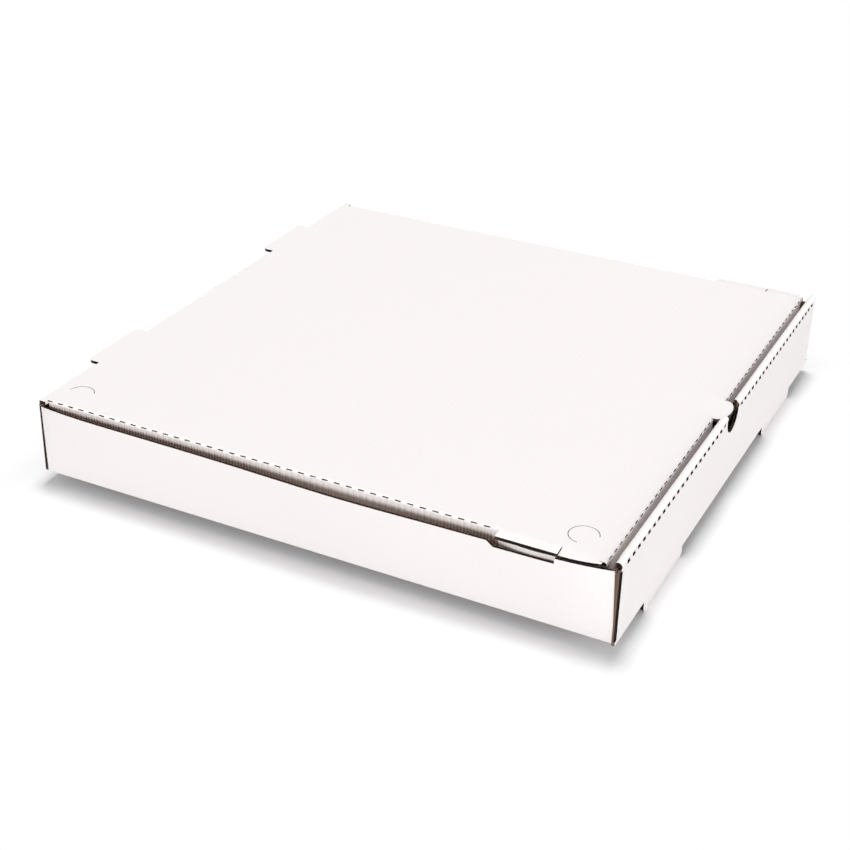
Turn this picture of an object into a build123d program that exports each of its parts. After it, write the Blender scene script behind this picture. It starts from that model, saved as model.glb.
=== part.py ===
from build123d import *
import math
import os

os.makedirs("parts", exist_ok=True)

# Board and box sizes in millimetres
board = 1.6
width = 309.0
depth = 310.0
side_height = 38.0
lid_top = 40.8
layer_gap = 0.2
crease_radius = 1.5

# Side walls, bowed out at the top: shares of the bulge at shares of the half depth
left_bulge = 5.9
right_bulge = 1.3
bulge_shape = [(-0.91, 0.39), (-0.72, 0.7), (-0.45, 0.83), (-0.13, 1.0)]
bulge_shape += [(0.2, 0.75), (0.65, 0.56), (0.89, 0.39)]
bulge_front_share = 0.03
bulge_rear_share = 0.14
wall_front_gap = 1.2
wall_front_lean = 1.3

# Vent recesses in the side walls, behind the lips of the lid
recess_depth = 2.8
recess_slope = 3.0
recess_rear_gap = 0.3
recess_front_gap = 1.2

# Front wall that rolls over and locks into the base
front_lean = 0.6
front_crease_height = 40.1
front_overhang = 0.4
crown_height = 2.7
crown_inset = 2.3
roll_inset = 3.5
roll_height = 1.3
roll_void_drop = 0.3
roll_end_inset = 2.9
panel_bend_height = 32.2
inner_panel_inset = 4.5
panel_floor_gap = 0.3

# Feet, base slots and lock tabs
foot_inner = 65.5
foot_length = 52.4
foot_drop = 6.0
foot_radius = 3.0
slot_clearance = 0.2
slot_depth = 5.8
slot_radius = 2.5
tab_inset = 1.5
tab_height = 3.0

# Thumb notch in the front wall
notch_radius = 8.7
notch_centre_drop = 1.0
throat_widening = 2.8
throat_setback = 0.6

# Corner flaps folded in from the side walls
front_flap_length = 58.0
front_flap_height = 32.2
front_fold_height = 37.5
back_flap_length = 38.0
back_flap_height = 31.0
flap_taper = 4.0
flap_floor_gap = 0.3
fold_radius = 1.2

# Lid panel and its hinge crease
side_clearance = 0.45
front_gap = 6.3
hinge_clearance = 0.35
back_strip_depth = 3.3
back_strip_inset = 0.2
fold_end_reach = 1.95
fold_end_depth = 3.4
fold_end_height = 2.3

# Lid flaps
front_tuck_drop = 31.6
front_tuck_slope = 2.4
front_tuck_inset = 1.25
front_tuck_taper = 11.2
front_tuck_shoulder = 5.0
side_tuck_drop = 32.8
side_tuck_rear_gap = 3.2
side_tuck_front_gap = 3.2
side_tuck_taper = 7.0
flare_drop = 3.3
flare_wall_gap = 0.45
flare_shape = [(0.18, 0.75), (0.4, 1.0), (0.65, 1.0), (0.85, 1.0)]

# Lips that lie over the side walls
lip_start = 51.2
lip_split = 21.5
split_width = 0.6
lip_end = 1.6
lip_reach = 4.7
lip_droop = 0.7
ear_reach_rear = 5.5
ear_reach_middle = 5.0
ear_reach_front = 3.2

# Thumb tongue at the front and hinge tongues at the back
thumb_half_width = 10.5
thumb_reach = 8.4
thumb_clearance = 0.4
tongue_inner = 64.5
tongue_length = 42.0
tongue_reach = 6.5
tongue_radius = 3.0
tongue_clearance = 0.4
window_radius = 2.0

# Vent tabs cut in the left corners of the lid
vent_radius = 7.0
vent_cut = 0.35
vent_front_opening = 104.0
vent_back_opening = 210.0
vent_side_inset = 13.95
vent_front_inset = 17.0
vent_back_inset = 12.6
vent_front_turn = 228.0
vent_back_turn = 190.0

# Perforated creases
dash_pitch = 6.35
dash_length = 3.1
dash_width = 0.6
wall_dash_width = 0.8
dash_reach = 6.0
wall_dash_turn = 48.0
wall_dash_inset = 7.6
wall_dash_notch_gap = 4.5
left_dash_inset = 3.15
right_dash_inset = 6.35
thumb_dash_gap = 2.2
side_dash_inset = 4.3

# Planes and heights that follow from the sizes
half_width = width / 2
half_depth = depth / 2
lid_under = lid_top - board
lid_half_width = half_width - board - side_clearance
lid_front = -half_depth + front_gap
hinge_y = half_depth - board / 2
hinge_z = lid_top - board / 2
back_wall_top = lid_under - hinge_clearance
wall_rear = half_depth - board - layer_gap
wall_front = -half_depth + wall_front_gap
lip_rear = lid_front + lip_start
lip_middle = lid_front + lip_split
lip_front = lid_front + lip_end
panel_offset = 2 * (board + layer_gap)
inner_panel_half_width = half_width - inner_panel_inset
foot_outer = foot_inner + foot_length
tongue_outer = tongue_inner + tongue_length


def wall_face(z):
    # Outer face of the front wall, which leans forward from the base
    return -half_depth - front_lean * z / front_crease_height


def prism_x(points, x_low, x_high):
    outline = make_face(Polyline(*points, close=True))
    return extrude(Plane.YZ.offset(x_low) * outline, amount=x_high - x_low)


def prism_y(points, y_low, y_high):
    outline = make_face(Polyline(*points, close=True))
    return extrude(Plane.XZ.offset(-y_high) * outline, amount=y_high - y_low)


def prism_z(points, z_low, z_high):
    outline = make_face(Polyline(*points, close=True))
    return extrude(Plane.XY.offset(z_low) * outline, amount=z_high - z_low)


def block(x_low, x_high, y_low, y_high, z_low, z_high):
    corners = [(x_low, y_low), (x_high, y_low), (x_high, y_high), (x_low, y_high)]
    return prism_z(corners, z_low, z_high)


def both_sides(shape):
    return shape + mirror(shape, about=Plane.YZ)


def leaning_panel(offset, z_low, z_high, x_low, x_high):
    # A panel parallel to the front wall, its outer face set back by offset
    points = [
        (wall_face(z_low) + offset, z_low),
        (wall_face(z_high) + offset, z_high),
        (wall_face(z_high) + offset + board, z_high),
        (wall_face(z_low) + offset + board, z_low),
    ]
    return prism_x(points, x_low, x_high)


def bowed_panel(x, z_low, z_high, y_front, y_rear, bow):
    # An upright panel, straight along its foot and bowed to the left along its top
    def strip(z, outer):
        inner = [(px + board, py) for px, py in outer]
        outer = [(px, py, z) for px, py in outer]
        inner = [(px, py, z) for px, py in inner]
        edge = Line if len(outer) == 2 else Spline
        ends = [Line(outer[-1], inner[-1]), Line(inner[0], outer[0])]
        return make_face([edge(*outer), ends[0], edge(*inner[::-1]), ends[1]])

    foot = strip(z_low, [(x, y_front), (x, y_rear)])
    top = strip(z_high, [(x - amount, y) for y, amount in bow])
    return loft([foot, top], ruled=True)


def bulge_points(bulge):
    points = [(wall_front + wall_front_lean, bulge_front_share * bulge)]
    points += [(share * half_depth, amount * bulge) for share, amount in bulge_shape]
    return points + [(wall_rear, bulge_rear_share * bulge)]


def bulge_at(y, bulge):
    points = bulge_points(bulge)
    for (y1, b1), (y2, b2) in zip(points, points[1:]):
        if y <= y2:
            return b1 + (b2 - b1) * (y - y1) / (y2 - y1)
    return points[-1][1]


def base_panel():
    panel = block(-half_width, half_width, -half_depth, half_depth, 0, board)
    bottom = panel.edges().group_by(Axis.Z)[0]
    panel = fillet(bottom.filter_by(Axis.Y) + bottom.group_by(Axis.Y)[-1], crease_radius)
    slot = block(
        foot_inner - slot_clearance,
        foot_outer + slot_clearance,
        wall_face(board) + board,
        -half_depth + slot_depth,
        -board,
        2 * board,
    )
    slot = fillet(slot.edges().filter_by(Axis.Z).group_by(Axis.Y)[-1], slot_radius)
    return panel - both_sides(slot)


def side_wall(bulge):
    # Left wall with its vent recess
    wall = bowed_panel(-half_width, board / 2, side_height, wall_front, wall_rear, bulge_points(bulge))
    recess = [
        (lip_middle + recess_front_gap, side_height + 1),
        (lip_middle + recess_front_gap, side_height - recess_depth),
        (lip_rear + recess_rear_gap, side_height - recess_depth),
        (lip_rear + recess_rear_gap + recess_slope, side_height),
        (lip_rear + recess_rear_gap + recess_slope, side_height + 1),
    ]
    return wall - prism_x(recess, -half_width - bulge - board, -half_width + 2 * board)


def front_corner_flap():
    # Held between the two front layers, and higher at its fold, beside the inner panel
    offset = board + layer_gap
    flap = leaning_panel(offset, board + flap_floor_gap, front_fold_height, -half_width, 0)
    fold_inner = -inner_panel_half_width - layer_gap
    shape = [
        (-half_width, 0),
        (-half_width + front_flap_length, 0),
        (-half_width + front_flap_length - flap_taper, front_flap_height),
        (fold_inner, front_flap_height),
        (fold_inner, front_fold_height + 1),
        (-half_width, front_fold_height + 1),
    ]
    return flap & prism_y(shape, -half_depth - 3 * board, -half_depth + 5 * board)


def back_corner_flap():
    # Folded in behind the back wall
    shape = [
        (-half_width, board + flap_floor_gap),
        (-half_width + back_flap_length, board + flap_floor_gap),
        (-half_width + back_flap_length - flap_taper, back_flap_height),
        (-half_width, back_flap_height),
    ]
    flap = prism_y(shape, wall_rear - board, wall_rear)
    fold = flap.edges().filter_by(Axis.Z).group_by(Axis.X)[0].group_by(Axis.Y)[-1]
    return fillet(fold, fold_radius)


def back_wall():
    wall = block(-half_width, half_width, half_depth - board, half_depth, board / 2, back_wall_top)
    reach = tongue_reach + board / 2 + tongue_clearance
    window = block(
        tongue_inner - tongue_clearance,
        tongue_outer + tongue_clearance,
        half_depth - 2 * board,
        half_depth + board,
        hinge_z - reach,
        lid_top,
    )
    window = fillet(window.edges().filter_by(Axis.Y).group_by(Axis.Z)[0], window_radius)
    return wall - both_sides(window)


def rolled_strip():
    # Outer wall, rounded roll and inner panel as one strip of board
    crease = (wall_face(front_crease_height), front_crease_height)
    crown = (crease[0] + crown_inset, crease[1] + crown_height)
    shoulder = (crease[0] + roll_inset, crease[1] + roll_height)
    floor = board + panel_floor_gap
    bend = (wall_face(panel_bend_height) + panel_offset + board, panel_bend_height)
    run = math.hypot(bend[0] - shoulder[0], bend[1] - shoulder[1])
    slope = (bend[0] - shoulder[0]) / (shoulder[1] - bend[1])
    void_top = front_crease_height - roll_void_drop
    thickness = board * run / (shoulder[1] - bend[1])
    void_inner = shoulder[0] + slope * (shoulder[1] - void_top) - thickness
    edges = Polyline(
        shoulder,
        bend,
        (wall_face(floor) + panel_offset + board, floor),
        (wall_face(floor) + panel_offset, floor),
        (bend[0] - board, bend[1]),
        (void_inner, void_top),
        (wall_face(void_top) + board, void_top),
        (wall_face(0) + board, 0),
        (wall_face(0), 0),
        crease,
    )
    face = make_face([ThreePointArc(crease, crown, shoulder), *edges.edges()])
    reach = half_width + front_overhang
    strip = extrude(Plane.YZ.offset(-reach) * face, amount=2 * reach)
    beside_panel = block(
        inner_panel_half_width,
        reach + 1,
        crease[0] + roll_end_inset,
        -half_depth + 5 * board,
        -1,
        crown[1] + 1,
    )
    return strip - both_sides(beside_panel)


def front_wall():
    strip = rolled_strip()
    crease_y = wall_face(front_crease_height)
    shoulder_y = crease_y + roll_inset
    inside_y = -half_depth + 5 * board
    outside_y = crease_y - board
    notch = Circle(notch_radius)
    notch = Plane.XZ.offset(-inside_y) * (Pos(0, front_crease_height - notch_centre_drop) * notch)
    strip -= extrude(notch, amount=inside_y - outside_y)
    throat = [
        (throat_widening + notch_radius, inside_y),
        (throat_widening + notch_radius, shoulder_y),
        (notch_radius, crease_y + throat_setback),
        (notch_radius, outside_y),
    ]
    throat += [(-x, y) for x, y in throat[::-1]]
    strip -= prism_z(throat, lid_under - thumb_clearance, front_crease_height + 2 * crown_height)
    return strip


def foot():
    # Part of the base, cut free, that stays in line with the front wall
    panel = leaning_panel(0, -foot_drop, tab_height, foot_inner, foot_outer)
    return fillet(panel.edges().filter_by(Axis.Y, tolerance=5).group_by(Axis.Z)[0], foot_radius)


def lock_tab():
    return leaning_panel(panel_offset, 0.1, tab_height, foot_inner + tab_inset, foot_outer - tab_inset)


def dash_row(first, last):
    return [first - index * dash_pitch for index in range(int((first - last) / dash_pitch) + 1)]


def wall_dashes():
    cut = Rot(-wall_dash_turn, 0, 0) * Box(dash_length, dash_reach, wall_dash_width)
    place = (wall_face(front_crease_height), front_crease_height)
    row = dash_row(half_width - wall_dash_inset, notch_radius + wall_dash_notch_gap)
    return [Pos(side * x, *place) * cut for side in (-1, 1) for x in row]


def build_tray():
    tray = base_panel() + back_wall() + front_wall()
    tray += side_wall(left_bulge)
    tray += mirror(side_wall(right_bulge), about=Plane.YZ)
    tray += both_sides(front_corner_flap())
    tray += both_sides(back_corner_flap())
    tray += both_sides(foot())
    tray += both_sides(lock_tab())
    return tray - wall_dashes()


def side_tuck(bulge):
    # Left lid flap; the part that the lip was cut from leans out against the wall
    low = lid_top - side_tuck_drop
    rear = hinge_y - side_tuck_rear_gap
    front = lid_front + side_tuck_front_gap
    upright = [
        (rear, lid_top),
        (lip_rear, lid_top),
        (lip_rear, low),
        (rear - side_tuck_taper, low),
    ]
    flap = prism_x(upright, -lid_half_width, -lid_half_width + board)
    flare_top = lid_top - flare_drop
    length = lip_rear - front

    def flare_at(y):
        return bulge_at(y, bulge) * flare_top / side_height + side_clearance - flare_wall_gap

    bow = [(front, flare_at(front))]
    for along, share in flare_shape[::-1]:
        y = lip_rear - along * length
        bow.append((y, share * flare_at(y)))
    root = lip_rear + board / 2
    bow.append((root, 0))
    flare = bowed_panel(-lid_half_width, low, flare_top, front, root, bow)
    taper = [
        (lip_rear + board, flare_top),
        (front, flare_top),
        (front + side_tuck_taper, low),
        (lip_rear + board, low),
    ]
    return flap + (flare & prism_x(taper, -half_width - bulge, -lid_half_width + 2 * board))


def front_tuck():
    low = lid_top - front_tuck_drop
    points = [
        (lid_front, lid_top),
        (lid_front + front_tuck_slope, low),
        (lid_front + front_tuck_slope + board, low),
        (lid_front + board, lid_top),
    ]
    half = lid_half_width - front_tuck_inset
    shape = [(half, lid_top), (half, lid_top - front_tuck_shoulder), (half - front_tuck_taper, low)]
    shape += [(-x, z) for x, z in shape[::-1]]
    return prism_x(points, -half, half) & prism_y(shape, lid_front - board, lid_front + 5 * board)


def fold_end():
    # The front fold runs past the side crease, over the wall's top edge
    corner = lid_top - crease_radius
    middle = crease_radius * (1 - math.sqrt(0.5))
    low = lid_top - fold_end_height
    edges = Polyline(
        (lid_front + crease_radius, lid_top),
        (lid_front + fold_end_depth, lid_top),
        (lid_front + fold_end_depth, low),
        (lid_front, low),
        (lid_front, corner),
    )
    rounding = ThreePointArc(
        (lid_front, corner),
        (lid_front + middle, lid_top - middle),
        (lid_front + crease_radius, lid_top),
    )
    face = make_face([*edges.edges(), rounding])
    start = lid_half_width - 2 * board
    return extrude(Plane.YZ.offset(start) * face, amount=2 * board + fold_end_reach)


def lip_profile(reach):
    inner = -lid_half_width + board
    return [
        (inner, lid_top),
        (-lid_half_width, lid_top),
        (-lid_half_width - reach, lid_top - lip_droop),
        (-lid_half_width - reach, lid_under - lip_droop),
        (-lid_half_width, lid_under),
        (inner, lid_under),
    ]


def lips():
    # A lip over the vent recess and, past a slit, an ear that lies on the wall
    rear = prism_y(lip_profile(lip_reach), lip_middle + split_width / 2, lip_rear)
    ear_rear = lip_middle - split_width / 2
    ear = prism_y(lip_profile(ear_reach_rear), lip_front, ear_rear)
    inner = -lid_half_width + 2 * board
    edge = ThreePointArc(
        (-lid_half_width - ear_reach_rear, ear_rear),
        (-lid_half_width - ear_reach_middle, (ear_rear + lip_front) / 2),
        (-lid_half_width - ear_reach_front, lip_front),
    )
    rest = Polyline(
        (-lid_half_width - ear_reach_front, lip_front),
        (inner, lip_front),
        (inner, ear_rear),
        (-lid_half_width - ear_reach_rear, ear_rear),
    )
    plan = make_face([edge, *rest.edges()])
    plan = extrude(Plane.XY.offset(lid_under - 2 * lip_droop) * plan, amount=board + 3 * lip_droop)
    return both_sides(rear + (ear & plan))


def thumb_tongue():
    tongue = Plane.XY.offset(lid_under) * (Pos(0, lid_front) * Ellipse(thumb_half_width, thumb_reach))
    tongue = extrude(tongue, amount=board)
    half = 2 * thumb_half_width
    front = lid_front - 2 * thumb_reach
    return tongue & block(-half, half, front, lid_front + 2 * board, lid_under, lid_top)


def thumb_window():
    # Hole left in the front flap where the tongue was cut out of it
    hole = Ellipse(thumb_half_width + thumb_clearance, thumb_reach + thumb_clearance)
    rear = lid_front + 5 * board
    hole = extrude(Plane.XZ.offset(-rear) * (Pos(0, lid_under) * hole), amount=6 * board)
    half = 2 * thumb_half_width
    return hole & block(-half, half, lid_front - board, rear, lid_under - 2 * thumb_reach, lid_under)


def hinge_tongue():
    start = hinge_y - board
    tongue = block(tongue_inner, tongue_outer, start, half_depth + tongue_reach, lid_under, lid_top)
    return fillet(tongue.edges().filter_by(Axis.Z).group_by(Axis.Y)[-1], tongue_radius)


def vent_slit(y, opening, turn):
    # Part of a circle, left uncut towards the corner of the lid
    ring = Circle(vent_radius + vent_cut / 2) - Circle(vent_radius - vent_cut / 2)
    reach = 3 * vent_radius
    stops = [math.radians(opening * share) for share in (-0.5, -0.25, 0, 0.25, 0.5)]
    fan = [(reach * math.cos(stop), reach * math.sin(stop)) for stop in stops]
    ring -= make_face(Polyline((0, 0), *fan, close=True))
    ring = Pos(-lid_half_width + vent_side_inset, y) * Rot(0, 0, turn) * ring
    return extrude(Plane.XY.offset(lid_under - board) * ring, amount=3 * board)


def lid_dashes():
    thumb_edge = thumb_half_width + thumb_dash_gap
    across = Rot(45, 0, 0) * Box(dash_length, dash_width, dash_reach)
    left_row = dash_row(lid_half_width - left_dash_inset, thumb_edge)
    right_row = dash_row(lid_half_width - right_dash_inset, thumb_edge)
    cuts = [Pos(-x, lid_front, lid_top) * across for x in left_row]
    cuts += [Pos(x, lid_front, lid_top) * across for x in right_row]
    row = dash_row(hinge_y - side_dash_inset, lip_rear + 1)
    for side in (-1, 1):
        along = Rot(0, side * 45, 0) * Box(dash_width, dash_length, dash_reach)
        cuts += [Pos(side * lid_half_width, y, lid_top) * along for y in row]
    return cuts


def build_lid():
    lid = block(-lid_half_width, lid_half_width, lid_front, hinge_y, lid_under, lid_top)
    lid += side_tuck(left_bulge)
    lid += mirror(side_tuck(right_bulge), about=Plane.YZ)
    lid += front_tuck()
    top = lid.edges().filter_by_position(Axis.Z, lid_top - 0.01, lid_top + 0.01)
    along = top.filter_by(Axis.Y)
    across = top.filter_by(Axis.X)
    sides = along.filter_by(lambda edge: abs(abs(edge.center().X) - lid_half_width) < 0.01)
    front = across.filter_by(lambda edge: abs(edge.center().Y - lid_front) < 0.01)
    lid = fillet(sides + front, crease_radius)
    strip_reach = half_width - back_strip_inset
    strip_start = hinge_y - back_strip_depth
    lid += block(-strip_reach, strip_reach, strip_start, hinge_y, lid_under, lid_top)
    bead = Plane.YZ.offset(-strip_reach) * (Pos(hinge_y, hinge_z) * Circle(board / 2))
    lid += extrude(bead, amount=2 * strip_reach)
    lid += lips()
    lid += both_sides(fold_end())
    lid += both_sides(hinge_tongue())
    lid -= thumb_window()
    lid += thumb_tongue()
    lid -= vent_slit(lid_front + vent_front_inset, vent_front_opening, vent_front_turn)
    lid -= vent_slit(hinge_y - vent_back_inset, vent_back_opening, vent_back_turn)
    return lid - lid_dashes()


tray = build_tray()
lid = build_lid()
tray.label = "tray"
lid.label = "lid"
export_step(tray, "parts/tray.step")
export_step(lid, "parts/lid.step")
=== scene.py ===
import bpy
import math
from mathutils import Matrix, Vector
from mathutils.bvhtree import BVHTree


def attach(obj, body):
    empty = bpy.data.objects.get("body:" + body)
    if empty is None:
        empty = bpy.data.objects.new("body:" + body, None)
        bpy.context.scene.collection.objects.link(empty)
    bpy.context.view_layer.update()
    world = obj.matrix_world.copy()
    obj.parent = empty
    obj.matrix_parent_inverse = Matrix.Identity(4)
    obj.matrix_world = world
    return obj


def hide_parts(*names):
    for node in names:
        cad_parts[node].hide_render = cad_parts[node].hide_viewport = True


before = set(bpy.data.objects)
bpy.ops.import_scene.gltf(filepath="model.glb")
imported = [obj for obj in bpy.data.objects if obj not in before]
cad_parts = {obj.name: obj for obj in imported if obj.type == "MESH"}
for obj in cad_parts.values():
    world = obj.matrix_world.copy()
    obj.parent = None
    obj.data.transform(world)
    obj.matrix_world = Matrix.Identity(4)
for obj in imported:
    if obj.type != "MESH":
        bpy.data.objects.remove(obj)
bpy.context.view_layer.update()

mm = 0.001
mergeDistance = 1e-6    # metres
pocketSides = 14

cameraView = {
    "azimuth": -63.191,     # degrees, seen from the left of the front
    "elevation": 26.159,
    "roll": 0.86,
    "place": (-14.9, 39.89, 885.71),   # millimetres along the camera's own axes
    "focalPixels": 1614.2,
    "pictureWidth": 850,
    "sensor": 36,
    "shift": (0.0, -0.1),
}

studio = {
    "floorDrop": -6.0,      # millimetres, the front lock tongues stand on it
    "floorSize": 6.0,       # metres
    "floorForLight": (0.5, 0.5, 0.5),
    "floorSeen": (0.99, 0.99, 1.0),
    "boxHalf": (0.1545, 0.155, 0),     # metres from the middle to the box's sides
    "shadowEnds": (0.002, 0.034),      # metres from the box over which the floor turns white
    "skyLight": 0.36,
    "skySeen": 1.0,
    "lamps": [              # name, place in metres, level on a card that faces it, size
        ("keyLamp", (0.4, 0.14, 3.0), 0.495, 0.8),
        ("frontFill", (-0.35, -2.6, 0.42), 0.445, 0.9),
        ("leftFill", (-2.6, -0.15, 0.45), 0.495, 0.9),
    ],
}

boardLook = {
    "thickness": 1.6,       # millimetres of E-flute board
    "flutePitch": 3.3,
    # Painted shade: the dark brown painted into the liners where their surroundings close in,
    # and how far and finely that is probed
    "paintedShadeColour": (0.18, 0.085, 0.046),
    "paintedShadeReach": 0.007,  # metres
    "paintedShadeSamples": 6,
    "paintedShadeRange": (0.36, 0.74),      # open share of the surroundings, darkest to clear
    "specular": 0.3,
    "reliefHeight": 0.00005,
}

# Each liner's painted shade: how strongly a dark colour painted into it darkens it where its
# surroundings hide it from light
linerLooks = {
    # A copy of the white liner with deeper painted shade, for the lid's side folds
    "foldLinerPaintedShade": {
        "paper": (0.965, 0.924, 0.914), "fleck": (0.91, 0.87, 0.86), "flecks": 0.5,
        "fibre": 0.5, "flute": 1.8, "bump": 1.0, "roughness": 0.62, "paintedShade": 1.0,
    },
    "whiteLiner": {
        "paper": (0.965, 0.924, 0.914), "fleck": (0.91, 0.87, 0.86), "flecks": 0.5,
        "fibre": 0.35, "flute": 0.5, "bump": 0.35, "roughness": 0.62, "paintedShade": 0.16,
    },
    "kraftLiner": {
        "paper": (0.3, 0.165, 0.09), "fleck": (0.22, 0.12, 0.06), "flecks": 0.9,
        "fibre": 0.6, "flute": 0.8, "bump": 0.6, "roughness": 0.75, "paintedShade": 0.5,
    },
    "cutBoard": {
        "paper": (0.2, 0.125, 0.09), "fleck": (0.035, 0.018, 0.01), "flecks": 1.0,
        "fibre": 0.9, "flute": 0.0, "bump": 0.9, "roughness": 0.85, "paintedShade": 0.2,
    },
    # Painted shade: cut edges along the flutes are painted near black, as they look in shade
    "cutAlongPaintedShade": {
        "paper": (0.045, 0.026, 0.017), "fleck": (0.035, 0.018, 0.01), "flecks": 1.0,
        "fibre": 0.9, "flute": 0.0, "bump": 0.9, "roughness": 0.85, "paintedShade": 0.2,
    },
    # Painted shade: near black on the walls of slits, vents and cut flute hollows, where the
    # kraft board lies in shade
    "hollowPaintedShade": {
        "paper": (0.012, 0.007, 0.005), "fleck": (0.035, 0.018, 0.01), "flecks": 0.6,
        "fibre": 0.6, "flute": 0.0, "bump": 0.6, "roughness": 0.9, "paintedShade": 0.0,
    },
}

grainLook = {
    "frontFacing": 0.7,     # a face turned further to the front has its flutes along Z
    "ridgeRange": (0.55, 1.15),
    "fibreStretch": (0.35, 1.0, 1.0),
    "fibre": {"Scale": 1900.0, "Detail": 5.0, "Roughness": 0.65},
    "cloud": {"Scale": 55.0, "Detail": 3.0, "Roughness": 0.5},
    "fleckRange": (0.48, 0.72),
    "cloudRange": (0.35, 0.7),
    "cloudLow": 0.35,
}

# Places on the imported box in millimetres, for telling its liners from its cut edges
box = {
    "halfWidth": 154.5,
    "halfDepth": 155.0,
    "frontLean": 0.6,
    "frontCrease": 40.1,
    "rollArc": ((-155.6, 40.1), (-153.3, 42.8), (-152.1, 41.4)),
    "lidTop": 40.8,
    "lidHalf": 152.45,
    "lidFront": -148.7,
    "creaseRadius": 1.5,
    "hinge": 154.2,
}


def selectOnly(piece):
    bpy.ops.object.select_all(action="DESELECT")
    piece.select_set(True)
    bpy.context.view_layer.objects.active = piece


def inEditMode(piece, step):
    selectOnly(piece)
    bpy.ops.object.mode_set(mode="EDIT")
    step()
    bpy.ops.object.mode_set(mode="OBJECT")


def addNode(tree, kind, values=None, **settings):
    node = tree.nodes.new(kind)
    for name, value in settings.items():
        setattr(node, name, value)
    for socket, value in (values or {}).items():
        feed(tree, node.inputs[socket], value)
    return node


def feed(tree, socket, value):
    # Links another node's output to a socket, or sets a plain value
    if isinstance(value, bpy.types.NodeSocket):
        tree.links.new(value, socket)
    else:
        socket.default_value = value


def mathNode(tree, operation, *values):
    node = addNode(tree, "ShaderNodeMath", dict(enumerate(values)), operation=operation)
    return node.outputs[0]


def rangeNode(tree, value, fromRange, toRange=(0.0, 1.0), **settings):
    values = {
        "Value": value,
        "From Min": fromRange[0],
        "From Max": fromRange[1],
        "To Min": toRange[0],
        "To Max": toRange[1],
    }
    return addNode(tree, "ShaderNodeMapRange", values, **settings).outputs[0]


def mixNode(tree, kind, factor, first, second):
    # A mix node has sockets for every kind of data, told apart by number
    firstSocket, secondSocket, result = {"FLOAT": (2, 3, 0), "RGBA": (6, 7, 2)}[kind]
    values = {"Factor": factor, firstSocket: first, secondSocket: second}
    return addNode(tree, "ShaderNodeMix", values, data_type=kind).outputs[result]


def noiseNode(tree, place, settings):
    return addNode(tree, "ShaderNodeTexNoise", {"Vector": place, **settings}).outputs[0]


def withAlpha(colour):
    return (*colour, 1.0)


def newGroup(name, inputs, outputs):
    group = bpy.data.node_groups.new(name, "ShaderNodeTree")
    for label, kind, value in inputs:
        socket = group.interface.new_socket(label, in_out="INPUT", socket_type=kind)
        socket.default_value = value
    for label, kind in outputs:
        group.interface.new_socket(label, in_out="OUTPUT", socket_type=kind)
    return group, group.nodes.new("NodeGroupInput"), group.nodes.new("NodeGroupOutput")


def paperGrainGroup():
    # Fibres, flecks and the washboard that the flutes press into a liner
    number = "NodeSocketFloat"
    colour = "NodeSocketColor"
    group, start, end = newGroup(
        "paperGrain",
        [
            ("Paper", colour, (0.8, 0.8, 0.8, 1)),
            ("Fleck", colour, (0.6, 0.6, 0.6, 1)),
            ("Fleck Amount", number, 0.3),
            ("Fibre Height", number, 0.3),
            ("Flute Height", number, 0.5),
            ("Flute Pitch", number, 0.0033),
        ],
        [("Color", colour), ("Height", number), ("Ridge", number)],
    )
    given = start.outputs
    place = addNode(group, "ShaderNodeTexCoord").outputs
    spot = addNode(group, "ShaderNodeSeparateXYZ", {0: place["Object"]}).outputs
    facing = addNode(group, "ShaderNodeSeparateXYZ", {0: place["Normal"]}).outputs
    turned = mathNode(group, "ABSOLUTE", facing["Y"])
    frontish = mathNode(group, "GREATER_THAN", turned, grainLook["frontFacing"])
    across = mixNode(group, "FLOAT", frontish, spot["Y"], spot["Z"])
    turns = mathNode(group, "DIVIDE", across, given["Flute Pitch"])
    angle = mathNode(group, "MULTIPLY", turns, 2 * math.pi)
    wave = mathNode(group, "SINE", angle)
    ridges = mathNode(group, "MULTIPLY", wave, given["Flute Height"])

    # Streaks at half the pitch, for the shade in the folds
    lobes = mathNode(group, "SINE", mathNode(group, "MULTIPLY", angle, 2.0))
    ridge = rangeNode(group, lobes, (-1.0, 1.0), grainLook["ridgeRange"])
    group.links.new(ridge, end.inputs["Ridge"])

    mapping = {0: place["Object"], "Scale": grainLook["fibreStretch"]}
    stretched = addNode(group, "ShaderNodeMapping", mapping).outputs[0]
    fibre = noiseNode(group, stretched, grainLook["fibre"])
    cloud = noiseNode(group, place["Object"], grainLook["cloud"])
    flecks = rangeNode(group, fibre, grainLook["fleckRange"])
    clouds = rangeNode(group, cloud, grainLook["cloudRange"], (grainLook["cloudLow"], 1.0))
    both = mathNode(group, "MULTIPLY", flecks, clouds)
    amount = mathNode(group, "MULTIPLY", both, given["Fleck Amount"])
    tint = mixNode(group, "RGBA", amount, given["Paper"], given["Fleck"])
    group.links.new(tint, end.inputs["Color"])
    grain = mathNode(group, "MULTIPLY", fibre, given["Fibre Height"])
    height = mathNode(group, "ADD", grain, ridges)
    group.links.new(height, end.inputs["Height"])
    return group


paperGrain = paperGrainGroup()


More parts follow.
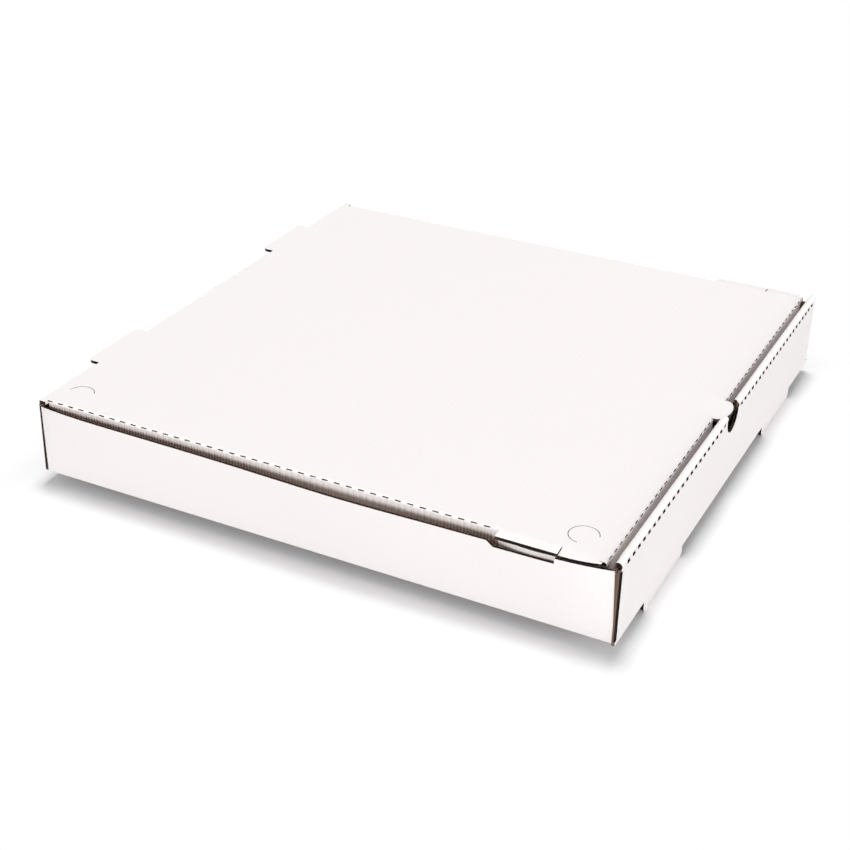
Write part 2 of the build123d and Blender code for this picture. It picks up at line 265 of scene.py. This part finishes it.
def linerMaterial(name):
    look = linerLooks[name]
    material = bpy.data.materials.new(name)
    material.use_nodes = True
    tree = material.node_tree
    shader = tree.nodes["Principled BSDF"].inputs
    shader["Roughness"].default_value = look["roughness"]
    shader["Specular IOR Level"].default_value = boardLook["specular"]
    paper = {
        "Paper": withAlpha(look["paper"]),
        "Fleck": withAlpha(look["fleck"]),
        "Fleck Amount": look["flecks"],
        "Fibre Height": look["fibre"],
        "Flute Height": look["flute"],
        "Flute Pitch": boardLook["flutePitch"] * mm,
    }
    grain = addNode(tree, "ShaderNodeGroup", node_tree=paperGrain)
    for label, value in paper.items():
        grain.inputs[label].default_value = value
    # Painted shade: an ambient occlusion probe mixes the liner towards the dark brown where its
    # surroundings close in, streaked along the flutes
    hidden = addNode(tree, "ShaderNodeAmbientOcclusion", samples=boardLook["paintedShadeSamples"])
    hidden.inputs["Distance"].default_value = boardLook["paintedShadeReach"]
    paintedShadeSpan = (look["paintedShade"], 0.0)
    depth = rangeNode(tree, hidden.outputs["AO"], boardLook["paintedShadeRange"], paintedShadeSpan)
    paintedShadeMask = mathNode(tree, "MULTIPLY", depth, grain.outputs["Ridge"])
    paintedShadeColour = withAlpha(boardLook["paintedShadeColour"])
    shade = mixNode(tree, "RGBA", paintedShadeMask, grain.outputs["Color"], paintedShadeColour)
    tree.links.new(shade, shader["Base Color"])
    relief = addNode(tree, "ShaderNodeBump", {
        "Strength": look["bump"],
        "Distance": boardLook["reliefHeight"],
        "Height": grain.outputs["Height"],
    })
    tree.links.new(relief.outputs["Normal"], shader["Normal"])
    return material


liners = {name: linerMaterial(name) for name in linerLooks}
print("materials ready")


# The kinds of face, numbered as the materials are on each piece
whiteFace, kraftFace, cutFace, alongPaintedShadeFace, slitPaintedShadeFace, foldPaintedShadeFace = range(6)
facePaint = ("whiteLiner", "kraftLiner", "cutBoard", "cutAlongPaintedShade", "hollowPaintedShade", "foldLinerPaintedShade")


def copyNode(node, name):
    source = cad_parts[node]
    selectOnly(source)
    bpy.ops.object.duplicate()
    piece = bpy.context.view_layer.objects.active
    piece.name = name
    piece.data.name = name

    def merge():
        bpy.ops.mesh.select_all(action="SELECT")
        bpy.ops.mesh.remove_doubles(threshold=mergeDistance)
        bpy.ops.mesh.select_all(action="DESELECT")

    inEditMode(piece, merge)
    return piece


probe = {
    "inset": 2e-5,          # metres behind a face where the ray starts
    "reach": 0.02,
    "nothing": 99.0,        # millimetres, for a face with no board behind it
}


def boardBehind(tree, centre, normal):
    # Thickness of the board behind a face, in millimetres
    hit = tree.ray_cast(centre - normal * probe["inset"], -normal, probe["reach"])
    return hit[3] / mm if hit[0] is not None else probe["nothing"]


def arcDistance(y, z, arc):
    # Distance from a rounded fold, given as three points of its arc
    (ay, az), (by, bz), (cy, cz) = arc
    d = 2 * (ay * (bz - cz) + by * (cz - az) + cy * (az - bz))
    a2, b2, c2 = ay * ay + az * az, by * by + bz * bz, cy * cy + cz * cz
    oy = (a2 * (bz - cz) + b2 * (cz - az) + c2 * (az - bz)) / d
    oz = (a2 * (cy - by) + b2 * (ay - cy) + c2 * (by - ay)) / d
    return abs(math.hypot(y - oy, z - oz) - math.hypot(ay - oy, az - oz))


# Lengths in millimetres, and shares of a unit normal
trayZones = {
    "baseHeights": (-0.1, 1.6),
    "baseDown": -0.2,
    "baseSlack": 0.01,
    "rollDepth": 4,
    "rollDrop": 1,
    "rollSlack": 0.08,
    "rollSideways": 0.5,
    "frontFlush": 0.06,
    "backFlush": 0.05,
    "square": 0.9,
    "stripDepth": 2.5,
    "bowSlack": 0.2,
    "wallEnds": (1.1, 1.7),
    "wallSquare": 0.6,
    "cutShare": 1.12,       # thicker than this share of the board is a cut edge
    "frontOrBack": 0.7,
    "innerPanel": 3.5,      # this far behind the front the inner panel begins
    "sideways": 0.5,
}


def trayFinish(p, n, thickness):
    zone = trayZones
    side = n.x * p.x
    front, back = -box["halfDepth"], box["halfDepth"]
    behindFront = p.y + box["halfDepth"] + box["frontLean"] * p.z / box["frontCrease"]
    onRoll = p.y < front + zone["rollDepth"] and p.z > box["frontCrease"] - zone["rollDrop"]
    onRoll = onRoll and abs(n.x) < zone["rollSideways"]
    low, high = zone["baseHeights"]
    if low < p.z < high and n.z < zone["baseDown"] and p.y > front - zone["baseSlack"]:
        return whiteFace
    if onRoll and arcDistance(p.y, p.z, box["rollArc"]) < zone["rollSlack"]:
        return whiteFace
    if behindFront < zone["frontFlush"] and n.y < -zone["square"]:
        return whiteFace
    if p.y > back - zone["backFlush"] and n.y > zone["square"]:
        return whiteFace
    wide = zone["square"] * abs(p.x)
    outermost = zone["square"] * box["halfWidth"] - zone["bowSlack"]
    if p.y < front + zone["stripDepth"] and side > wide > outermost:
        return cutFace
    fromFront, fromBack = zone["wallEnds"]
    onWall = front + fromFront < p.y < back - fromBack
    if onWall and abs(p.x) > box["halfWidth"] - zone["bowSlack"]:
        if side > zone["wallSquare"] * abs(p.x):
            return whiteFace
    if thickness > boardLook["thickness"] * zone["cutShare"]:
        return cutFace
    if abs(n.y) > zone["frontOrBack"]:
        if p.y > 0 or behindFront > zone["innerPanel"]:
            return whiteFace if n.y > 0 else kraftFace
        return whiteFace if n.y < 0 else kraftFace
    if abs(n.x) > zone["sideways"]:
        return whiteFace if side > 0 else kraftFace
    return whiteFace if n.z < 0 else kraftFace


lidZones = {
    "topFlush": 0.05,
    "foldSlack": 0.08,
    "foldSideways": 0.3,
    "foldInward": 0.1,
    "topUp": 0.97,
    "foldEnd": (150.2, 151),    # the hinge end of a side fold, along Y and X
    "foldEndTurn": -0.7,
    "stripDrop": 1.7,           # the strip between the lid's crease and the back wall
    "stripThickness": 3.4,
    "stripSideways": 0.3,
    "stripDown": -0.3,
    "sideFlush": 0.05,
    "square": 0.9,
    "tuckThickness": 3,
    "tuckDepth": 3,
    "cutShare": 1.15,
    "upOrDown": 0.5,
}


def lidFinish(p, n, thickness):
    zone = lidZones
    side = n.x * p.x
    radius, slack, inward = box["creaseRadius"], zone["foldSlack"], zone["foldInward"]
    edge = box["lidTop"] - radius
    frontFold = math.hypot(p.y - box["lidFront"] - radius, p.z - edge)
    sideFold = math.hypot(abs(p.x) - box["lidHalf"] + radius, p.z - edge)
    if p.z > edge - zone["topFlush"] and n.z > -inward:
        alongFront = abs(frontFold - radius) < slack and abs(n.x) < zone["foldSideways"]
        alongSide = abs(sideFold - radius) < slack and abs(n.y) < zone["foldSideways"]
        if alongFront and n.y < inward or alongSide and side > -inward:
            return whiteFace
    if n.z > zone["topUp"] and p.z > box["lidTop"] - zone["topFlush"]:
        return whiteFace
    foldEndY, foldEndX = zone["foldEnd"]
    if p.y > foldEndY and n.y < zone["foldEndTurn"] and abs(p.x) > foldEndX:
        return whiteFace
    onStrip = p.z > box["lidTop"] - zone["stripDrop"] and p.y > box["hinge"]
    if onStrip and abs(n.x) < zone["stripSideways"] and thickness < zone["stripThickness"]:
        return whiteFace if n.z > zone["stripDown"] else kraftFace
    atSide = abs(abs(p.x) - box["lidHalf"]) < zone["sideFlush"]
    if p.z < edge and atSide and side > zone["square"] * abs(p.x):
        return whiteFace
    atFront = p.y < box["lidFront"] + zone["tuckDepth"] and n.y < -zone["square"]
    if p.z < edge and atFront and thickness > zone["tuckThickness"]:
        return whiteFace
    if thickness > boardLook["thickness"] * zone["cutShare"]:
        return cutFace
    if n.z > zone["upOrDown"]:
        return whiteFace
    if n.z < -zone["upOrDown"]:
        return kraftFace
    if abs(n.y) > abs(n.x):
        return whiteFace if n.y < 0 else kraftFace
    return whiteFace if side > 0 else kraftFace


cutZones = {
    "lidDrop": 3.5,
    "frontFold": (3.4, 11.5, 150.5),        # half its depth, and its ends along X
    "sideFold": (2.6, -97, 150.2),          # half its width, and its ends along Y
    "vents": (-146, -130, 8),               # ends along X, and half the depth of each
    "ventMiddles": (-131.7, 141.6),
    "hingeGap": 0.2,
    "hingeEnd": 151,
    "sideways": 0.7,
    "foldCorner": (154.3, -147.1),
    "roll": (-154.6, 2.2, 12.5, 150),       # middle, half its depth, and its ends along X
    "rollHeights": (0.6, 2.4),              # its middle below the crease, and half its height
    "under": -0.2,
    "rollCorner": (154.6, 38.2),
    "notchSide": 13,
    "wallTop": 150,
}


def cutKind(p, n):
    # Tells an edge across the flutes from one along them, which is painted near black as shade,
    # and from a slit, which is painted black as shade
    zone = cutZones
    wide = abs(p.x)
    inLid = p.z > box["lidTop"] - zone["lidDrop"]
    reach, first, last = zone["frontFold"]
    onFold = abs(p.y - box["lidFront"]) < reach and first < wide < last
    reach, first, last = zone["sideFold"]
    onFold = onFold or abs(wide - box["lidHalf"]) < reach and first < p.y < last
    first, last, reach = zone["vents"]
    inVent = first < p.x < last
    inVent = inVent and any(abs(p.y - middle) < reach for middle in zone["ventMiddles"])
    atHinge = p.y > box["halfDepth"] + zone["hingeGap"]
    atHinge = atHinge or p.y > zone["hingeEnd"] and abs(n.x) > zone["sideways"]
    # Slits, vents, hinge ends and faces below the base are painted near black as shade
    if inLid and (onFold or inVent or atHinge):
        return slitPaintedShadeFace
    cornerX, cornerY = zone["foldCorner"]
    if inLid and wide > cornerX and p.y < cornerY:
        return alongPaintedShadeFace
    middle, reach, first, last = zone["roll"]
    drop, half = zone["rollHeights"]
    onRoll = abs(p.y - middle) < reach and abs(p.z - box["frontCrease"] + drop) < half
    if onRoll and first < wide < last or p.z < zone["under"]:
        return slitPaintedShadeFace
    cornerX, cornerZ = zone["rollCorner"]
    if wide > cornerX and p.z > cornerZ and p.y < 0:
        return alongPaintedShadeFace
    if abs(n.x) > zone["sideways"] and wide > zone["notchSide"]:
        return cutFace
    if n.z > zone["sideways"] and wide > zone["wallTop"]:
        return cutFace
    return alongPaintedShadeFace


shadedFolds = {
    "sideways": 0.3,
    "top": 40.6,
    "from": -97.5,
}


def onShadedFold(p, n):
    # The lid's side folds get a copy of the white liner with stronger flute relief and deeper
    # painted shade that darkens into their slots
    sideways = abs(n.x) > shadedFolds["sideways"]
    return sideways and p.z < shadedFolds["top"] and p.y > shadedFolds["from"]


def dressBoard(piece, finish):
    mesh = piece.data
    mesh.materials.clear()
    for name in facePaint:
        mesh.materials.append(liners[name])
    corners = [vertex.co for vertex in mesh.vertices]
    tree = BVHTree.FromPolygons(corners, [face.vertices for face in mesh.polygons])
    counts = [0] * len(facePaint)
    for face in mesh.polygons:
        thickness = boardBehind(tree, face.center, face.normal)
        point, normal = face.center / mm, face.normal
        kind = finish(point, normal, thickness)
        if kind == cutFace:
            kind = cutKind(point, normal)
        # The lid's side folds take the liner with deeper painted shade
        if piece.name == "lidBoard" and kind == whiteFace and onShadedFold(point, normal):
            kind = foldPaintedShadeFace
        face.material_index = kind
        counts[kind] += 1
    print(piece.name, "white, kraft, cut, cut along, slit, fold faces:", counts)
    return tree


slits = {
    "fewestFaces": 4,
    "lengths": (2.5, 4.6),  # millimetres, shortest and longest
    "tray": (2.0, 0.8),     # shares of the width and length that were cut
    "lid": (1.5, 0.95),
}


def slitIslands(mesh):
    # Faces painted near black as slit shade that share corners, one list for each slit
    leader = {}

    def find(key):
        while leader[key] != key:
            leader[key] = leader[leader[key]]
            key = leader[key]
        return key

    faces = [face for face in mesh.polygons if face.material_index == slitPaintedShadeFace]
    for face in faces:
        for corner in face.vertices:
            leader.setdefault(corner, corner)
        first = find(face.vertices[0])
        for corner in face.vertices:
            leader[find(corner)] = first
    islands = {}
    for face in faces:
        islands.setdefault(find(face.vertices[0]), []).append(face)
    return islands.values()


def widenSlits(piece, share, length):
    # The perforations gape a little: their sides move apart on the piece
    mesh = piece.data
    shortest, longest = slits["lengths"]
    widened = 0
    for island in slitIslands(mesh):
        corners = {corner for face in island for corner in face.vertices}
        places = [mesh.vertices[corner].co for corner in corners]
        spans = [max(p[i] for p in places) - min(p[i] for p in places) for i in range(3)]
        rightLength = shortest * mm < max(spans) < longest * mm
        if len(island) < slits["fewestFaces"] or not rightLength:
            continue
        across = max(island, key=lambda face: face.area).normal.copy()
        middle = sum(places, Vector()) / len(places)
        along = Vector([1.0 if span == max(spans) else 0.0 for span in spans])
        for corner in corners:
            place = mesh.vertices[corner].co
            offset = (place - middle).dot(across)
            place += along * (place - middle).dot(along) * (length - 1)
            place += across * offset * (share - 1)
        widened += 1
    print(piece.name, "slits widened:", widened)


thumb = {
    "halfWidth": 11.0,      # millimetres
    "from": -150.2,
    "share": 0.64,
    "lowest": 38.0,
}


def tuckThumb(piece):
    # The thumb tongue ends inside the notch, so the notch shows dark round it
    for vertex in piece.data.vertices:
        x, y, z = vertex.co / mm
        if abs(x) < thumb["halfWidth"] and y < thumb["from"] and z > thumb["lowest"]:
            vertex.co.y = (thumb["from"] + (y - thumb["from"]) * thumb["share"]) * mm


# One hollow's outline along and across the board, and how far it is cut, in millimetres
flute = {
    "hollow": [(-1.32, 0.6), (-0.95, 0.25), (-0.55, -0.28), (-0.2, -0.4),
               (0.2, -0.4), (0.55, -0.28), (0.95, 0.25), (1.32, 0.6)],
    "depth": 4.0,
    "proud": 0.6,
}


def onSide(side, place):
    x, y, z = place
    return side * x, y, z


def fluteRow(count, depth):
    # A row of hollows along X, as thick as the board along Y, cut down along Z
    outline, proud, pitch = flute["hollow"], flute["proud"], boardLook["flutePitch"]
    bpy.ops.object.select_all(action="DESELECT")
    bpy.ops.mesh.primitive_circle_add(vertices=len(outline), radius=mm, fill_type="NGON")
    row = bpy.context.view_layer.objects.active
    for vertex, (along, across) in zip(row.data.vertices, outline):
        vertex.co = Vector((along, across, proud)) * mm

    def addSecond():
        bpy.ops.mesh.select_all(action="SELECT")
        bpy.ops.mesh.duplicate()
        bpy.ops.transform.resize(value=(1, -1, 1), center_override=(0, 0, 0))
        bpy.ops.transform.translate(value=(pitch / 2 * mm, 0, 0))
        bpy.ops.mesh.select_all(action="SELECT")
        bpy.ops.mesh.extrude_region_move(
            TRANSFORM_OT_translate={"value": (0, 0, -(depth + proud) * mm)})
        bpy.ops.mesh.select_all(action="SELECT")
        bpy.ops.mesh.normals_make_consistent(inside=False)

    inEditMode(row, addSecond)
    repeat = row.modifiers.new("repeat", "ARRAY")
    repeat.use_relative_offset = False
    repeat.use_constant_offset = True
    repeat.constant_offset_displace = (pitch * mm, 0, 0)
    repeat.count = count
    bpy.ops.object.modifier_apply(modifier="repeat")
    return row


def edgeRow(count, start, along, across, outward, depth=flute["depth"]):
    # A row of hollows in a cut edge, with its first at start, in millimetres
    row = fluteRow(count, depth)
    along, across, outward = (Vector(v).normalized() for v in (along, across, outward))
    columns = Matrix((along, across, outward)).transposed().to_4x4()
    row.data.transform(Matrix.Translation(Vector(start) * mm) @ columns)
    if columns.determinant() < 0:
        row.data.flip_normals()
    return row


wallTop = {
    "count": 92,
    "start": (153.7, -150.6, 38.0),
    "depth": 4.6,
    "probe": 34.0,          # height at which the bow is looked for
    "foot": 0.8,            # height from which the wall bows
    "outside": 175,
    "lastProbe": 152.8,
}


def wallTopRow(tree, side):
    # Follows the bow of a side wall, found by looking at it from outside
    probeHeight, foot = wallTop["probe"], wallTop["foot"]
    start = onSide(side, wallTop["start"])
    row = edgeRow(wallTop["count"], start, (0, 1, 0), (side, 0, 0), (0, 0, 1), wallTop["depth"])
    for vertex in row.data.vertices:
        x, y, z = vertex.co / mm
        eye = Vector((side * wallTop["outside"], min(y, wallTop["lastProbe"]), probeHeight))
        seen = tree.ray_cast(eye * mm, Vector((-side, 0, 0)))
        bow = (abs(seen[0].x) / mm - box["halfWidth"]) / (probeHeight - foot)
        vertex.co.x += side * bow * (z - foot) * mm
    return row


def cutHollows(piece, rows):
    bpy.ops.object.select_all(action="DESELECT")
    for row in rows:
        # The hollows' walls are painted near black as shade
        row.data.materials.append(liners["hollowPaintedShade"])
        row.select_set(True)
    bpy.context.view_layer.objects.active = rows[0]
    bpy.ops.object.join()
    cutter = bpy.context.view_layer.objects.active
    before = len(piece.data.polygons)
    selectOnly(piece)
    cut = piece.modifiers.new("cut", "BOOLEAN")
    cut.operation = "DIFFERENCE"
    cut.solver = "EXACT"
    cut.material_mode = "TRANSFER"
    cut.object = cutter
    bpy.ops.object.modifier_apply(modifier="cut")
    selectOnly(cutter)
    bpy.ops.object.delete()
    after = len(piece.data.polygons)
    print(piece.name, "faces before and after its hollows:", before, after)
    # A cut whose cutters overlap leaves an empty mesh
    assert after > before


smoothing = {
    "angle": 28,            # degrees
    "weight": 100,
}


def evenShading(piece):
    selectOnly(piece)
    bpy.ops.object.shade_smooth_by_angle(angle=math.radians(smoothing["angle"]))
    even = piece.modifiers.new("even", "WEIGHTED_NORMAL")
    even.keep_sharp = True
    even.weight = smoothing["weight"]
    bpy.ops.object.modifier_apply(modifier="even")


def barCutter(kind, start, size):
    # A straight groove or a round pocket along X, placed and sized in millimetres
    bpy.ops.object.select_all(action="DESELECT")
    turned = Matrix.Identity(4)
    if kind == "groove":
        bpy.ops.mesh.primitive_cube_add(size=mm)
    else:
        bpy.ops.mesh.primitive_cylinder_add(vertices=pocketSides, radius=mm, depth=mm)
        turned = Matrix.Rotation(math.radians(90), 4, "Y")
    cutter = bpy.context.view_layer.objects.active
    cutter.data.transform(Matrix.Diagonal((*size, 1)) @ turned)
    cutter.data.transform(Matrix.Translation(Vector(start) * mm))
    return cutter


# Starts of the rows and cutters, on the right-hand side, in millimetres
trayCuts = {
    "groove": (154.6, -154.65, 0),
    "grooveSize": (3, 0.85, 36.6),
    "grooveRise": 20.3,
    "pocket": (154.6, -154.35, 40.7),
    "pocketSize": (5, 1.2, 1.5),
    "backWall": (154.5, 154.2, 2.4),
    "backWallCount": 11,
    "backWallDepth": 3.5,
    "feet": [((65.5, -154.15, -2.4), -1), ((117.9, -154.15, -2.4), 1)],   # start, outward
    "outerNotch": (12.5, -154.72, 33.0),
    "innerNotch": (12.5, -151.3, 32.8),
    "innerLean": -0.1,
    "notchCount": 2,
    "notchDepth": 25,
}


def trayRows(tree):
    cuts = trayCuts
    lean = -box["frontLean"] / box["frontCrease"]
    rows = [wallTopRow(tree, side) for side in (-1, 1)]
    for side in (-1, 1):
        groove = barCutter("groove", onSide(side, cuts["groove"]), cuts["grooveSize"])
        for vertex in groove.data.vertices:
            vertex.co.z += cuts["grooveRise"] * mm
            vertex.co.y += lean * vertex.co.z
        rows.append(groove)
        rows.append(barCutter("pocket", onSide(side, cuts["pocket"]), cuts["pocketSize"]))
        start = onSide(side, cuts["backWall"])
        rows.append(edgeRow(cuts["backWallCount"], start, (0, 0, 1), (0, 1, 0), (side, 0, 0),
                            cuts["backWallDepth"]))
        for start, way in cuts["feet"]:
            start = onSide(side, start)
            rows.append(edgeRow(1, start, (0, 0, 1), (0, 1, 0), (way * side, 0, 0)))
    notches = ((cuts["outerNotch"], lean), (cuts["innerNotch"], cuts["innerLean"]))
    for start, tilt in notches:
        rows.append(edgeRow(cuts["notchCount"], start, (0, tilt, 1), (0, 1, 0), (1, 0, 0),
                            cuts["notchDepth"]))
    return rows


lidCuts = {
    "lip": (157.15, -124.9, 39.3),
    "lipCount": 8,
    "lipDroop": 0.15,
    "ear": (157.9, -144.6, 39.35),
    "earCount": 5,
    "earDroop": 0.127,
    "earDepth": 4.5,
    "pocket": (154.2, -147.35, 39.7),
    "pocketSize": (6, 1.2, 1.0),
    "tongues": [((64.5, 155.9, 40.0), -1), ((106.5, 155.9, 40.0), 1)],   # start, outward
    "tuck": (151.65, -95.5, 8.0),
    "tuckCount": 72,
    "tuckDepth": 3.0,
}


def droopingRow(count, start, side, droop, depth):
    # A row in an edge that hangs a little, such as a lip of the lid
    return edgeRow(count, onSide(side, start), (0, 1, 0), (side * droop, 0, 1),
                   (side, 0, -droop), depth)


def lidRows():
    cuts = lidCuts
    rows = []
    for side in (-1, 1):
        rows.append(droopingRow(cuts["lipCount"], cuts["lip"], side, cuts["lipDroop"],
                                flute["depth"]))
        rows.append(droopingRow(cuts["earCount"], cuts["ear"], side, cuts["earDroop"],
                                cuts["earDepth"]))
        rows.append(barCutter("pocket", onSide(side, cuts["pocket"]), cuts["pocketSize"]))
        for start, way in cuts["tongues"]:
            start = onSide(side, start)
            rows.append(edgeRow(1, start, (0, 1, 0), (0, 0, 1), (way * side, 0, 0)))
        rows.append(edgeRow(cuts["tuckCount"], onSide(side, cuts["tuck"]), (0, 1, 0),
                            (side, 0, 0), (0, 0, -1), cuts["tuckDepth"]))
    return rows


trayBoard = copyNode("tray", "trayBoard")
trayTree = dressBoard(trayBoard, trayFinish)
widenSlits(trayBoard, *slits["tray"])
cutHollows(trayBoard, trayRows(trayTree))
evenShading(trayBoard)
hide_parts("tray")
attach(trayBoard, "tray")
print("tray ready")

lidBoard = copyNode("lid", "lidBoard")
dressBoard(lidBoard, lidFinish)
widenSlits(lidBoard, *slits["lid"])
tuckThumb(lidBoard)
cutHollows(lidBoard, lidRows())
evenShading(lidBoard)
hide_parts("lid")
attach(lidBoard, "lid")
print("lid ready")


def seenDirectly(tree):
    # 1 for what the camera sees, also in a reflection or through clear matter
    rays = addNode(tree, "ShaderNodeLightPath").outputs
    total = rays["Is Camera Ray"]
    for name in ("Is Glossy Ray", "Is Transmission Ray"):
        total = mathNode(tree, "MAXIMUM", total, rays[name])
    return total


def floorMaterial():
    # Takes the box's shadow, and turns plain white away from the box
    material = bpy.data.materials.new("floorPaint")
    material.use_nodes = True
    tree = material.node_tree
    paint = tree.nodes["Principled BSDF"]
    paint.inputs["Roughness"].default_value = 1.0
    paint.inputs["Specular IOR Level"].default_value = 0.0
    seen = seenDirectly(tree)
    tones = withAlpha(studio["floorForLight"]), withAlpha(studio["floorSeen"])
    tree.links.new(mixNode(tree, "RGBA", seen, *tones), paint.inputs["Base Color"])
    place = addNode(tree, "ShaderNodeTexCoord").outputs["Object"]
    place = addNode(tree, "ShaderNodeVectorMath", {0: place}, operation="ABSOLUTE").outputs[0]
    for operation, value in (("SUBTRACT", studio["boxHalf"]), ("MAXIMUM", (0, 0, 0))):
        values = {0: place, 1: value}
        place = addNode(tree, "ShaderNodeVectorMath", values, operation=operation).outputs[0]
    away = addNode(tree, "ShaderNodeVectorMath", {0: place}, operation="LENGTH")
    fade = rangeNode(tree, away.outputs["Value"], studio["shadowEnds"],
                     interpolation_type="SMOOTHSTEP")
    shown = mathNode(tree, "MULTIPLY", fade, seen)
    white = addNode(tree, "ShaderNodeEmission", {"Strength": 1.0}).outputs[0]
    blend = addNode(tree, "ShaderNodeMixShader", {0: shown, 1: paint.outputs[0], 2: white})
    below = addNode(tree, "ShaderNodeNewGeometry").outputs["Backfacing"]
    through = addNode(tree, "ShaderNodeBsdfTransparent").outputs[0]
    sides = {0: below, 1: blend.outputs[0], 2: through}
    oneSided = addNode(tree, "ShaderNodeMixShader", sides).outputs[0]
    tree.links.new(oneSided, tree.nodes["Material Output"].inputs["Surface"])
    return material


floorPlace = (0, 0, studio["floorDrop"] * mm)
bpy.ops.mesh.primitive_plane_add(size=studio["floorSize"], location=floorPlace)
floor = bpy.context.view_layer.objects.active
floor.name = "floor"
floor.data.materials.append(floorMaterial())


def paleWorld():
    # Full white where it is looked at, and dimmer as a light on the box
    world = bpy.data.worlds.new("paleRoom")
    world.use_nodes = True
    tree = world.node_tree
    sky = tree.nodes["Background"]
    sky.inputs["Color"].default_value = (1, 1, 1, 1)
    levels = studio["skyLight"], studio["skySeen"]
    level = mixNode(tree, "FLOAT", seenDirectly(tree), *levels)
    tree.links.new(level, sky.inputs["Strength"])
    return world


bpy.context.scene.world = paleWorld()


def areaLamp(name, place, level, size):
    # Power that lights a white card facing the lamp at this level
    bpy.ops.object.light_add(type="AREA", location=place)
    lamp = bpy.context.view_layer.objects.active
    lamp.name = name
    lamp.data.energy = level * math.pi ** 2 * Vector(place).length_squared
    lamp.data.size = size
    lamp.rotation_euler = (-Vector(place)).to_track_quat("-Z", "Y").to_euler()


for lampSettings in studio["lamps"]:
    areaLamp(*lampSettings)

bpy.ops.object.camera_add()
camera = bpy.context.view_layer.objects.active
focalShare = cameraView["focalPixels"] / cameraView["pictureWidth"]
camera.data.lens = focalShare * cameraView["sensor"]
camera.data.sensor_width = cameraView["sensor"]
camera.data.shift_x, camera.data.shift_y = cameraView["shift"]
turn = Matrix.Rotation(math.radians(cameraView["azimuth"]), 4, "Z")
turn = turn @ Matrix.Rotation(math.radians(90 - cameraView["elevation"]), 4, "X")
turn = turn @ Matrix.Rotation(math.radians(cameraView["roll"]), 4, "Z")
camera.matrix_world = Matrix.Translation(turn @ (Vector(cameraView["place"]) * mm)) @ turn
bpy.context.scene.camera = camera
bpy.context.scene.view_settings.view_transform = "Standard"
print("studio ready")
